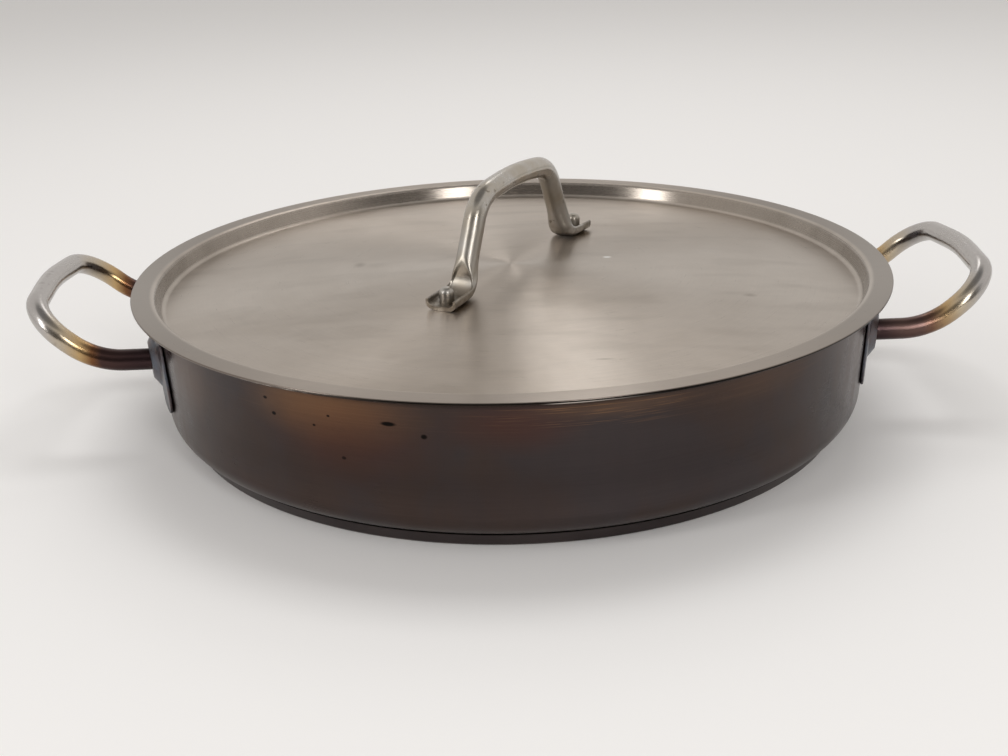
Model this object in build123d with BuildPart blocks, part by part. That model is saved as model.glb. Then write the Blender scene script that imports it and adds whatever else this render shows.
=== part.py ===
from build123d import *
import math
import os

# Round two-handled pan of pressed stainless sheet with a sandwich base and a sunk lid.
# Millimetres. The origin is the middle of the base's underside, Z points up.
# X runs from loop handle to loop handle, and -Y is the front.

# Pan shell
shell_sheet = 1.4
mouth_radius = 180.2
wall_draft = 2.9
rim_height = 73.0
lip_flare = 8.6
corner_bend = 12.0
lip_bend = 5.5
rim_rounding = 0.5

# Sandwich base
cap_sheet = 0.8
core_thickness = 5.6
seam_step = 6.8
cap_flare = 2.9
cap_edge_bend = 2.5
cap_lap = 0.45
core_clearance = 0.3

# Lid
lid_sheet = 1.0
lid_overhang = 2.2
lid_edge_rounding = 0.4
recess_depth = 9.0
recess_gap = 2.2
recess_draft = 16.1
recess_edge_bend = 1.5
recess_foot_bend = 3.0
panel_crown = 8.0

# Brackets
bracket_sheet = 1.5
bracket_width = 46.0
bracket_below = 23.0
bracket_lip_gap = 5.6
bracket_corner = 8.0
bracket_edge_rounding = 0.5
weld_gap = 0.15
dome_foot_radius = 13.8
dome_top_radius = 8.8
dome_rise = 3.2
dome_foot_fillet = 2.0
dome_top_fillet = 1.8

# Loop handles
loop_tube = 10.4
loop_wall = 1.0
loop_spacing = 102.0
loop_drop = 26.0
loop_socket_gap = 1.0
loop_straight = 14.8
loop_rise_bend = 38.5
loop_rise_angle = 40.8
loop_slope_run = 22.5
loop_corner_bend = 22.4
loop_bow = 4.8
loop_bow_bend = 140.0
tube_clearance = 0.1

# Lid handle
grip_tube = 10.8
grip_wall = 1.0
grip_turn = 60.9
grip_shift = 2.9
grip_height = 44.1
grip_crown = 4.1
grip_crown_bend = 200.0
shoulder_half = 38.3
shoulder_bend = 20.0
heel_half = 57.1
heel_bend = 9.0
foot_end = 6.3
foot_width = 16.0
foot_floor = 2.0
foot_wall = 1.5
foot_side_height = 5.6
foot_seat = 0.15
press_start = 11.0
press_spans = 6
lip_turn = 15

# Lid rivets
rivet_reach = 73.1
rivet_shank = 4.0
rivet_clearance = 0.1
rivet_head = 7.2
rivet_head_height = 7.8
rivet_crown = 2.8
rivet_tail = 6.6
rivet_tail_height = 1.8

# Heights, radii and half sizes that follow from the sizes above
shell_bottom = cap_sheet + core_thickness
lip_underside = rim_height - shell_sheet
lid_top = rim_height + lid_sheet
loop_height = rim_height - loop_drop
bracket_above = lip_underside - bracket_lip_gap - loop_height
draft = math.radians(wall_draft)
wall_top_radius = mouth_radius + shell_sheet
wall_base_radius = wall_top_radius - (lip_underside - shell_bottom) * math.tan(draft)
rim_radius = mouth_radius + lip_flare
cap_seam_radius = wall_base_radius - seam_step
cap_foot_radius = cap_seam_radius - cap_flare
lid_radius = rim_radius + lid_overhang


def wall_radius(height):
    """Radius of the pan wall's outer face at a height."""
    return wall_base_radius + (height - shell_bottom) * math.tan(draft)


# Pan shell: one pressed sheet, from the flat bottom up the drafted wall to the flared lip
with BuildPart() as pan_shell:
    with BuildSketch(Plane.XZ):
        with BuildLine():
            FilletPolyline(
                (0, shell_bottom),
                (wall_base_radius, shell_bottom),
                (wall_top_radius, lip_underside),
                (rim_radius, lip_underside),
                radius=[corner_bend, lip_bend],
            )
            offset(amount=shell_sheet, side=Side.LEFT)
        make_face()
    revolve(axis=Axis.Z)
    rim_edges = pan_shell.edges().filter_by(GeomType.CIRCLE).group_by(SortBy.RADIUS)[-1]
    fillet(rim_edges, radius=rim_rounding)
pan_shell.part.label = "pan_shell"


# Base cap: the thin outer sheet, its upper edge ending just above the shell's flat bottom
with BuildPart() as base_cap:
    with BuildSketch(Plane.XZ):
        with BuildLine():
            FilletPolyline(
                (0, 0),
                (cap_foot_radius, 0),
                (cap_seam_radius, shell_bottom + cap_lap),
                radius=cap_edge_bend,
            )
            offset(amount=cap_sheet, side=Side.LEFT)
        make_face()
    revolve(axis=Axis.Z)
    with BuildSketch(Plane.XY.offset(shell_bottom + cap_lap)):
        Circle(cap_seam_radius + cap_sheet)
    extrude(amount=cap_sheet, mode=Mode.SUBTRACT)
base_cap.part.label = "base_cap"

# Base core: the aluminium disc shut in between the cap and the shell's bottom
core_radius = cap_foot_radius - cap_sheet - core_clearance
with BuildPart() as base_core:
    with BuildSketch(Plane.XY.offset(cap_sheet)):
        Circle(core_radius)
    extrude(amount=core_thickness)
    chamfer(base_core.edges().group_by(Axis.Z)[0], length=cap_edge_bend)
base_core.part.label = "base_core"


# Brackets: a rounded plate wrapped on the wall, with a hollow pressed dome round each tube
leg_offset = loop_spacing / 2
tube_radius = loop_tube / 2
plate_face = wall_radius(loop_height) + weld_gap + bracket_sheet
dome_turn = math.degrees(math.asin(leg_offset / (plate_face + dome_rise / 2)))
out = Vector(1, 0, 0).rotate(Axis.Z, dome_turn)
across = Vector(0, 1, 0).rotate(Axis.Z, dome_turn)
wall_normal = (out * math.cos(draft) + Vector(0, 0, -math.sin(draft))).normalized()
wall_point = out * wall_radius(loop_height) + Vector(0, 0, loop_height)
dome_plane = Plane(origin=wall_point, x_dir=across, z_dir=wall_normal)
dome_section = Plane(origin=wall_point, x_dir=-dome_plane.y_dir, z_dir=-across)
dome_axis = Axis(wall_point, wall_normal)
plate_back = weld_gap
plate_front = weld_gap + bracket_sheet
plate_middle = (plate_back + plate_front) / 2
dome_slope = (dome_foot_radius - dome_top_radius) / dome_rise
dome_side_radius = (dome_foot_radius + dome_top_radius) / 2
dome_side_point = dome_plane.from_local_coords((dome_side_radius, 0, plate_front + dome_rise / 2))
plate_low = loop_height - bracket_below - bracket_corner
plate_high = loop_height + bracket_above + bracket_corner
slant = 1 / math.cos(draft)

with BuildPart() as right_rear_bracket:
    with BuildSketch(Plane.XZ):
        with BuildLine():
            Polyline(
                (wall_radius(plate_low) + plate_back * slant, plate_low),
                (wall_radius(plate_low) + plate_front * slant, plate_low),
                (wall_radius(plate_high) + plate_front * slant, plate_high),
                (wall_radius(plate_high) + plate_back * slant, plate_high),
                close=True,
            )
        make_face()
    revolve(axis=Axis.Z)
    with BuildSketch(dome_plane):
        with Locations((0, (bracket_above - bracket_below) / 2)):
            RectangleRounded(bracket_width, bracket_above + bracket_below, bracket_corner)
    extrude(amount=bracket_width, both=True, mode=Mode.INTERSECT)
    front_face = right_rear_bracket.faces().filter_by(GeomType.CONE).sort_by(SortBy.AREA)[-1]
    fillet(front_face.edges(), radius=bracket_edge_rounding)
    with BuildSketch(dome_section):
        with BuildLine():
            FilletPolyline(
                (dome_foot_radius + dome_slope * bracket_sheet / 2, plate_middle),
                (dome_top_radius, plate_front + dome_rise),
                (0, plate_front + dome_rise),
                radius=dome_top_fillet,
            )
            Line((0, plate_front + dome_rise), (0, plate_middle))
            Line((0, plate_middle), (dome_foot_radius + dome_slope * bracket_sheet / 2, plate_middle))
        make_face()
    revolve(axis=dome_axis)
    with BuildSketch(dome_section):
        with BuildLine():
            FilletPolyline(
                (dome_foot_radius + dome_slope * bracket_sheet, plate_back - bracket_sheet),
                (dome_top_radius, plate_back + dome_rise),
                (0, plate_back + dome_rise),
                radius=dome_top_fillet,
            )
            Line((0, plate_back + dome_rise), (0, plate_back - bracket_sheet))
            Line(
                (0, plate_back - bracket_sheet),
                (dome_foot_radius + dome_slope * bracket_sheet, plate_back - bracket_sheet),
            )
        make_face()
    revolve(axis=dome_axis, mode=Mode.SUBTRACT)
    dome_side = right_rear_bracket.faces().filter_by(GeomType.CONE).sort_by_distance(dome_side_point)[0]
    fillet(dome_side.edges().filter_by(GeomType.BSPLINE), radius=dome_foot_fillet)
    with BuildSketch(Plane.YZ.offset(wall_radius(loop_height))):
        with Locations((leg_offset, loop_height)):
            Circle(tube_radius + tube_clearance)
    extrude(amount=dome_foot_radius, both=True, mode=Mode.SUBTRACT)
right_rear_bracket.part.label = "right_rear_bracket"

with BuildPart() as right_front_bracket:
    mirror(right_rear_bracket.part, about=Plane.XZ)
right_front_bracket.part.label = "right_front_bracket"

with BuildPart() as left_rear_bracket:
    mirror(right_rear_bracket.part, about=Plane.YZ)
left_rear_bracket.part.label = "left_rear_bracket"

with BuildPart() as left_front_bracket:
    mirror(right_front_bracket.part, about=Plane.YZ)
left_front_bracket.part.label = "left_front_bracket"

# Loop handles: bent tube, up in one plane and round in another, ends inside the domes
slope = math.radians(loop_rise_angle)
uphill = Vector(math.cos(slope), 0, math.sin(slope))
socket_wall = math.sqrt(wall_radius(loop_height) ** 2 - (leg_offset - tube_radius) ** 2)
leg_end = Vector(socket_wall + loop_socket_gap, leg_offset, loop_height)
bend_start = leg_end + Vector(loop_straight, 0, 0)
bend_run = loop_rise_bend * math.sin(slope)
bend_climb = loop_rise_bend * (1 - math.cos(slope))
bend_end = bend_start + Vector(bend_run, 0, bend_climb)
corner = bend_end + uphill * loop_slope_run
bow_top = Vector(corner.X, 0, corner.Z) + uphill * loop_bow

with BuildPart() as right_loop_handle:
    with BuildLine() as loop_path:
        leg = Line(leg_end, bend_start)
        rise = TangentArc(bend_start, bend_end, tangent=(1, 0, 0))
        FilletPolyline(
            bend_end,
            corner,
            bow_top,
            Vector(corner.X, -corner.Y, corner.Z),
            Vector(bend_end.X, -bend_end.Y, bend_end.Z),
            radius=[loop_corner_bend, loop_bow_bend, loop_corner_bend],
        )
        mirror([leg, rise], about=Plane.XZ)
    with BuildSketch(Plane(origin=leg_end, x_dir=(0, 1, 0), z_dir=(1, 0, 0))):
        Circle(tube_radius)
        Circle(tube_radius - loop_wall, mode=Mode.SUBTRACT)
    sweep(path=loop_path.wire())
right_loop_handle.part.label = "right_loop_handle"

with BuildPart() as left_loop_handle:
    mirror(right_loop_handle.part, about=Plane.YZ)
left_loop_handle.part.label = "left_loop_handle"


# Lid panel: a flat flange round a sunk panel, crowned a little towards its middle
recess_foot = mouth_radius - recess_gap - lid_sheet
recess_edge = recess_foot + recess_depth * math.tan(math.radians(recess_draft))
panel_edge_height = lid_top - recess_depth
panel_height = panel_edge_height + panel_crown
crown_radius = (recess_foot**2 + panel_crown**2) / (2 * panel_crown)


def panel_top(reach):
    """Height of the crowned panel's top at a distance from the middle."""
    return panel_height - crown_radius + math.sqrt(crown_radius**2 - reach**2)


# Frames on the lid: the upright plane of its handle, and the panel under each rivet
along = Vector(1, 0, 0).rotate(Axis.Z, grip_turn)
grip_middle = Vector(grip_shift, 0, 0)
grip_plane = Plane(origin=grip_middle, x_dir=along, z_dir=along.cross(Vector(0, 0, 1)))
lean = math.asin(rivet_reach / crown_radius)
rivet_normal = along * math.sin(lean) + Vector(0, 0, math.cos(lean))
rivet_point = grip_middle + along * rivet_reach + Vector(0, 0, panel_top(rivet_reach))
rivet_plane = Plane(origin=rivet_point, x_dir=grip_plane.z_dir, z_dir=rivet_normal)
middle_plane = Plane(origin=grip_middle, z_dir=along)
hole_radius = rivet_shank / 2 + rivet_clearance

with BuildPart() as lid_panel:
    with BuildSketch(Plane.XZ):
        with BuildLine() as upper_side:
            TangentArc((0, panel_height), (recess_foot, panel_edge_height), tangent=(1, 0))
            Line((recess_foot, panel_edge_height), (recess_edge, lid_top))
            Line((recess_edge, lid_top), (lid_radius, lid_top))
            bends = upper_side.vertices().sort_by(Axis.X)
            fillet(bends[1], radius=recess_foot_bend)
            bends = upper_side.vertices().sort_by(Axis.X)
            fillet(bends[3], radius=recess_edge_bend)
            offset(amount=lid_sheet, side=Side.RIGHT)
        make_face()
    revolve(axis=Axis.Z)
    rings = lid_panel.edges().filter_by(GeomType.CIRCLE)
    fillet(rings.filter_by(lambda ring: math.isclose(ring.radius, lid_radius)), radius=lid_edge_rounding)
    with BuildSketch(rivet_plane):
        Circle(hole_radius)
    hole = extrude(amount=recess_depth, both=True, mode=Mode.SUBTRACT)
    mirror(hole, about=middle_plane, mode=Mode.SUBTRACT)
lid_panel.part.label = "lid_panel"


# Lid handle: a bent tube whose ends are pressed into open troughs that stand on the panel
grip_radius = grip_tube / 2
foot_axis = rivet_plane.origin + rivet_normal * (grip_radius + foot_seat)
foot_run = (along - rivet_normal * along.dot(rivet_normal)).normalized()
panel_level = panel_top(heel_half)
shoulder = grip_plane.from_local_coords((shoulder_half, panel_level + grip_height))
grip_top = grip_plane.from_local_coords((0, panel_level + grip_height + grip_crown))
far_shoulder = grip_plane.from_local_coords((-shoulder_half, panel_level + grip_height))
heel = foot_axis + foot_run * (heel_half - rivet_reach)
tip = foot_axis + foot_run * foot_end
leg_run = (heel - shoulder).normalized()
press_point = heel - leg_run * press_start
far_press_point = press_point - along * (2 * along.dot(press_point - grip_middle))
trough_lip = foot_side_height - grip_radius
trough_side = foot_width / 2
heel_turn = math.acos(leg_run.dot(foot_run))
press_length = press_start + heel_bend * (heel_turn - math.tan(heel_turn / 2))
press_step = press_length / (press_spans - 1)


def blend(start, end, share):
    """Value between a start and an end."""
    return start + (end - start) * share


def pressed_point(turn, side, height, share):
    """Point of the tube's outline at a turn, moved towards its place in the trough by a share."""
    angle = math.radians(turn)
    return (
        blend(grip_radius * math.cos(angle), side, share),
        blend(grip_radius * math.sin(angle), height, share),
    )


def far_side(point):
    """The same point on the trough's other side."""
    return (-point[0], point[1])


foot_spans = []

with BuildPart() as lid_handle:
    with BuildLine() as grip_path:
        FilletPolyline(
            press_point,
            shoulder,
            grip_top,
            far_shoulder,
            far_press_point,
            radius=[shoulder_bend, grip_crown_bend, shoulder_bend],
        )
    with BuildSketch(Plane(origin=press_point, x_dir=grip_plane.z_dir, z_dir=-leg_run)):
        Circle(grip_radius)
        Circle(grip_radius - grip_wall, mode=Mode.SUBTRACT)
    sweep(path=grip_path.wire())
    with BuildLine(mode=Mode.PRIVATE) as foot_path:
        FilletPolyline(press_point, heel, tip, radius=heel_bend)
    foot_wire = foot_path.wire()
    for span in range(press_spans):
        for station in (span, span + 1):
            reach = min(station * press_step, foot_wire.length)
            share = (1 - math.cos(math.pi * min(1, station / (press_spans - 1)))) / 2
            if station == press_spans:
                reach = foot_wire.length
            middle = foot_wire.position_at(reach, position_mode=PositionMode.LENGTH)
            heading = foot_wire.tangent_at(reach, position_mode=PositionMode.LENGTH)
            outer_lip = pressed_point(-lip_turn, trough_side, trough_lip - foot_wall / 2, share)
            lip = pressed_point(0, trough_side - foot_wall / 2, trough_lip, share)
            inner_lip = pressed_point(lip_turn, trough_side - foot_wall, trough_lip - foot_wall / 2, share)
            crest = pressed_point(90, 0, foot_floor - grip_radius, share)
            with BuildSketch(Plane(origin=middle, x_dir=-grip_plane.z_dir, z_dir=heading)):
                with BuildLine():
                    ThreePointArc(far_side(outer_lip), (0, -grip_radius), outer_lip)
                    ThreePointArc(outer_lip, lip, inner_lip)
                    ThreePointArc(inner_lip, crest, far_side(inner_lip))
                    ThreePointArc(far_side(inner_lip), far_side(lip), far_side(outer_lip))
                make_face()
        foot_spans.append(loft())
    mirror(foot_spans, about=middle_plane)
    with BuildSketch(rivet_plane.offset(foot_seat + foot_floor)):
        Circle(rivet_head / 2 + rivet_clearance)
    seat = extrude(amount=foot_side_height, mode=Mode.SUBTRACT)
    with BuildSketch(rivet_plane):
        Circle(hole_radius)
    hole = extrude(amount=foot_side_height, mode=Mode.SUBTRACT)
    mirror([seat, hole], about=middle_plane, mode=Mode.SUBTRACT)
lid_handle.part.label = "lid_handle"

# Lid rivets: one shank through each foot and the panel, a domed head above and below
head_level = foot_seat + foot_floor + foot_seat
head_top = head_level + rivet_head_height
tail_level = -lid_sheet - foot_seat
with BuildPart() as lid_rivets:
    with BuildSketch(Plane(origin=rivet_point, x_dir=foot_run, z_dir=grip_plane.z_dir)):
        with BuildLine():
            TangentArc((0, head_top), (rivet_head / 2, head_top - rivet_crown), tangent=(1, 0))
            Line((rivet_head / 2, head_top - rivet_crown), (rivet_head / 2, head_level))
            Line((rivet_head / 2, head_level), (rivet_shank / 2, head_level))
            Line((rivet_shank / 2, head_level), (rivet_shank / 2, tail_level))
            Line((rivet_shank / 2, tail_level), (rivet_tail / 2, tail_level))
            TangentArc((0, tail_level - rivet_tail_height), (rivet_tail / 2, tail_level), tangent=(1, 0))
            Line((0, tail_level - rivet_tail_height), (0, head_top))
        make_face()
    rivet = revolve(axis=Axis(rivet_point, rivet_normal))
    mirror(rivet, about=middle_plane)
lid_rivets.part.label = "lid_rivets"

os.makedirs("parts", exist_ok=True)
for piece in (
    pan_shell,
    base_cap,
    base_core,
    left_front_bracket,
    left_rear_bracket,
    right_front_bracket,
    right_rear_bracket,
    left_loop_handle,
    right_loop_handle,
    lid_panel,
    lid_handle,
    lid_rivets,
):
    export_step(piece.part, "parts/" + piece.part.label + ".step")
    print(piece.part.label, round(piece.part.volume), "cubic millimetres")
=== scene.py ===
import bpy
import bmesh
import math
from mathutils import Matrix, Vector


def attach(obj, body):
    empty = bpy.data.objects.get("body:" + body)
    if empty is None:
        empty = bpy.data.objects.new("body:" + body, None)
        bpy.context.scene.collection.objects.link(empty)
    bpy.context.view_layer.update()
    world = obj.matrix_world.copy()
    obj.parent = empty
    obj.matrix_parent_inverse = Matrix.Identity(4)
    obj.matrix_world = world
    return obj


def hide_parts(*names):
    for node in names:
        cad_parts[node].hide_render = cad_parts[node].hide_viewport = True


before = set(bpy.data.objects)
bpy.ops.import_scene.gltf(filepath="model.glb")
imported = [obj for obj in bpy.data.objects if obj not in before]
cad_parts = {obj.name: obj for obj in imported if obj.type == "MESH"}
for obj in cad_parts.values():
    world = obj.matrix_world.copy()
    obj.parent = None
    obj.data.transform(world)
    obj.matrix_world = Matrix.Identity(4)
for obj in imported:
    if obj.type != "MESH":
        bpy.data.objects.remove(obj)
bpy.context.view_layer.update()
print("frame loaded")

mm = 0.001
upAxis = Vector((0, 0, 1))
roundSteps = 256  # round the pan and the lid
profileStep = 7  # degrees to a step in the bends of a turned profile
tubeStep = 4  # degrees to a step in a tube's bends
runSteps = 3  # steps to a straight run of a tube


# Shading helpers: a socket with operators, so that a pattern reads as a sum
class Shade:
    def __init__(self, tree, socket=None):
        self.tree = tree
        self.socket = socket

    def node(self, kind, settings=None, inputs=None, output=0):
        made = self.tree.nodes.new(kind)
        for name, value in (settings or {}).items():
            if name == "stops":  # a ramp's stops, as place and colour
                elements = made.color_ramp.elements
                while len(elements) < len(value):
                    elements.new(0.5)
                for element, (place, colour) in zip(elements, value):
                    element.position = place
                    element.color = (*colour, 1)
            else:
                setattr(made, name, value)
        for name, value in (inputs or {}).items():
            if isinstance(value, Shade):
                self.tree.links.new(value.socket, made.inputs[name])
            else:
                made.inputs[name].default_value = value
        return Shade(self.tree, made.outputs[output])

    def maths(self, operation, *values):
        return self.node("ShaderNodeMath", {"operation": operation}, dict(enumerate(values)))

    def vectorMaths(self, operation, *values, output=0):
        settings = {"operation": operation}
        return self.node("ShaderNodeVectorMath", settings, dict(enumerate(values)), output)

    def __add__(self, other):
        return self.maths("ADD", self, other)

    def __radd__(self, other):
        return self.maths("ADD", other, self)

    def __sub__(self, other):
        return self.maths("SUBTRACT", self, other)

    def __rsub__(self, other):
        return self.maths("SUBTRACT", other, self)

    def __mul__(self, other):
        return self.maths("MULTIPLY", self, other)

    def __rmul__(self, other):
        return self.maths("MULTIPLY", other, self)

    def __truediv__(self, other):
        return self.maths("DIVIDE", self, other)

    def root(self):
        return self.maths("SQRT", self)

    def size(self):
        return self.maths("ABSOLUTE", self)

    def parts(self):
        split = self.node("ShaderNodeSeparateXYZ", None, {0: self})
        outputs = split.socket.node.outputs
        return [Shade(self.tree, outputs[i]) for i in range(3)]

    def vector(self, x, y, z):
        return self.node("ShaderNodeCombineXYZ", None, {0: x, 1: y, 2: z})

    def smooth(self, low, high, start=0.0, end=1.0):
        settings = {"interpolation_type": "SMOOTHSTEP"}
        inputs = {0: self, 1: low, 2: high, 3: start, 4: end}
        return self.node("ShaderNodeMapRange", settings, inputs)

    def band(self, low, high, soft):  # 1 between low and high, falling to 0 over soft outside them
        return self.smooth(low - soft, low) * self.smooth(high, high + soft, 1.0, 0.0)

    def limit(self):
        return self.node("ShaderNodeClamp", None, {0: self})

    def noise(self, scale, detail=3.0, roughness=0.5, distortion=0.0):
        inputs = {
            "Vector": self, "Scale": scale, "Detail": detail,
            "Roughness": roughness, "Distortion": distortion,
        }
        return self.node("ShaderNodeTexNoise", None, inputs)

    def ramp(self, stops):
        return self.node("ShaderNodeValToRGB", {"stops": stops}, {0: self})

    def over(self, *layers):  # the second colour laid over the first by this mask
        low, top = (item if isinstance(item, Shade) else (*item, 1) for item in layers)
        colours = {0: self, 6: low, 7: top}  # the mix node's colours are 6 and 7, its output is 2
        return self.node("ShaderNodeMix", {"data_type": "RGBA"}, colours, 2)

    def dim(self, factor):
        return self.node("ShaderNodeVectorMath", {"operation": "SCALE"}, {0: self, 3: factor})

    def spot(self, centre, size, inner=0.0):  # 1 in the middle of an ellipsoid, 0 outside it, in mm
        away = self.vectorMaths("SUBTRACT", self, [c * mm for c in centre])
        away = self.vectorMaths("DIVIDE", away, [s * mm for s in size])
        return self.vectorMaths("LENGTH", away, output="Value").smooth(inner, 1.0, 1.0, 0.0)


def newMaterial(name, settings):
    material = bpy.data.materials.new(name)
    material.use_nodes = True
    tree = material.node_tree
    tree.nodes.clear()
    surface = tree.nodes.new("ShaderNodeBsdfPrincipled")
    output = tree.nodes.new("ShaderNodeOutputMaterial")
    tree.links.new(surface.outputs[0], output.inputs[0])
    for socketName, value in settings.items():
        surface.inputs[socketName].default_value = value
    place = Shade(tree).node("ShaderNodeTexCoord", output="Object")
    return material, surface, place


def newSteel(name, brushing):
    # bare metal, its highlights drawn out across the brushing that runs round the upright axis
    return newMaterial(name, {
        "Metallic": 1.0, "Anisotropic": brushing, "Anisotropic Rotation": 0.25,
    })


def wireUp(surface, colour, roughness, height, depth):
    # height is the pattern of the fine relief, depth its size in mm
    tree = surface.id_data
    tree.links.new(colour.socket, surface.inputs["Base Color"])
    tree.links.new(roughness.limit().socket, surface.inputs["Roughness"])
    bump = height.node("ShaderNodeBump", None, {"Height": height, "Distance": depth * mm})
    tree.links.new(bump.socket, surface.inputs["Normal"])


def aroundAxis(place, offset=0.0):
    # distance from the upright axis and height, in mm, and the direction on the unit circle
    x, y, z = place.parts()
    x = x - offset * mm
    reach = (x * x + y * y).root()
    return reach / mm, z / mm, x / reach, y / reach


def ringGrain(around, lanes, arcs):
    # brushing that runs round the axis: lanes to the millimetre across it, arcs to the radian
    reach, height, east, north = around
    return reach.vector((reach + height) * lanes, east * arcs, north * arcs).noise(1.0, 3.0, 0.6)


def facing(around, side):
    # the cosine of the angle between the outward direction and a side
    east, north = around[2:]
    return east * side[0] + north * side[1]


def varied(base, *parts):
    # a base value and patterns that raise and lower it, each with its strength
    for pattern, strength in parts:
        base = base + strength * (pattern - 0.5)
    return base


# Modelling helpers
def meshData(name, mesh):
    data = bpy.data.meshes.new(name)
    mesh.to_mesh(data)
    mesh.free()
    return data


def addObject(name, data):
    made = bpy.data.objects.new(name, data)
    bpy.context.scene.collection.objects.link(made)
    return made


def bendProfile(mesh, corners, bends):
    # corners in the XZ plane, in mm; bends maps a corner's number to its radius
    points = [mesh.verts.new((x * mm, 0, z * mm)) for x, z in corners]
    for first, second in zip(points, points[1:]):
        mesh.edges.new((first, second))
    for number, radius in bends.items():
        before, here, after = (Vector(corners[i]) for i in (number - 1, number, number + 1))
        turn = (here - before).angle(after - here)
        bmesh.ops.bevel(
            mesh, geom=[points[number]], affect="VERTICES", offset_type="OFFSET",
            offset=radius * math.tan(turn / 2) * mm, profile=0.5,
            segments=max(3, round(math.degrees(turn) / profileStep)),
            material=-1, clamp_overlap=False,
        )


def turnProfile(mesh, steps):
    bmesh.ops.spin(
        mesh, geom=list(mesh.verts) + list(mesh.edges), cent=(0, 0, 0), axis=upAxis,
        angle=math.tau, steps=steps, use_merge=True,
    )
    bmesh.ops.remove_doubles(mesh, verts=mesh.verts, dist=1e-7)
    bmesh.ops.dissolve_degenerate(mesh, edges=mesh.edges, dist=1e-8)


def finishPiece(name, mesh, body, material, node, sharp=40):
    # edges that turn by more than the sharp angle, in degrees, stay crisp
    bmesh.ops.recalc_face_normals(mesh, faces=mesh.faces)
    data = meshData(name, mesh)
    data.shade_smooth()
    data.set_sharp_from_angle(angle=math.radians(sharp))
    piece = addObject(name, data)
    data.materials.append(material)
    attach(piece, body)
    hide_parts(node)
    print("made", name, len(data.polygons), "faces")


def edgesOf(geometry):
    return [item for item in geometry if isinstance(item, bmesh.types.BMEdge)]


def vertsOf(geometry):
    return [item for item in geometry if isinstance(item, bmesh.types.BMVert)]


def pushRing(mesh, ring, move, cuts):
    for _ in range(cuts):
        made = bmesh.ops.extrude_edge_only(mesh, edges=ring)["geom"]
        ring = edgesOf(made)
        bmesh.ops.translate(mesh, verts=vertsOf(made), vec=move / cuts)
    return ring


def bendRing(mesh, ring, centre, axis, angle, steps):
    ringVerts = list({vert for edge in ring for vert in edge.verts})
    made = bmesh.ops.spin(
        mesh, geom=ringVerts + ring, cent=centre, axis=axis, angle=angle, steps=steps,
    )
    return edgesOf(made["geom_last"])


def mirrorHalf(mesh, axis, merge):
    geometry = list(mesh.verts) + list(mesh.edges) + list(mesh.faces)
    bmesh.ops.mirror(mesh, geom=geometry, axis=axis, merge_dist=1e-5)
    bmesh.ops.remove_doubles(mesh, verts=mesh.verts, dist=merge)


def pathMoves(corners, bends):
    # straight runs and arcs of a bent path in a plane, in mm
    # the last corner only gives the last bend its turn
    moves = []
    here = Vector(corners[0])
    for number, radius in enumerate(bends, 1):
        corner, after = Vector(corners[number]), Vector(corners[number + 1])
        inward = (corner - Vector(corners[number - 1])).normalized()
        outward = (after - corner).normalized()
        angle = inward.angle_signed(outward)  # clockwise is positive
        cut = radius * math.tan(abs(angle) / 2)
        start = corner - inward * cut
        sideways = Vector((-inward.y, inward.x)) * (-1 if angle > 0 else 1)
        moves.append(("run", start - here))
        moves.append(("bend", start + sideways * radius, angle))
        here = corner + outward * cut
    return moves


def halfWay(moves):
    # the same path, ended half way round its last bend
    kind, centre, angle = moves[-1]
    return moves[:-1] + [(kind, centre, angle / 2)]


def followPath(mesh, ring, moves, origin, side, rise):
    # side and rise are the plane's two directions, origin its zero point
    for kind, *move in moves:
        spot = side * move[0].x * mm + rise * move[0].y * mm
        if kind == "run":
            ring = pushRing(mesh, ring, spot, runSteps)
        else:
            steps = max(2, round(math.degrees(abs(move[1])) / tubeStep))
            ring = bendRing(mesh, ring, origin + spot, rise.cross(side), move[1], steps)


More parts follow.
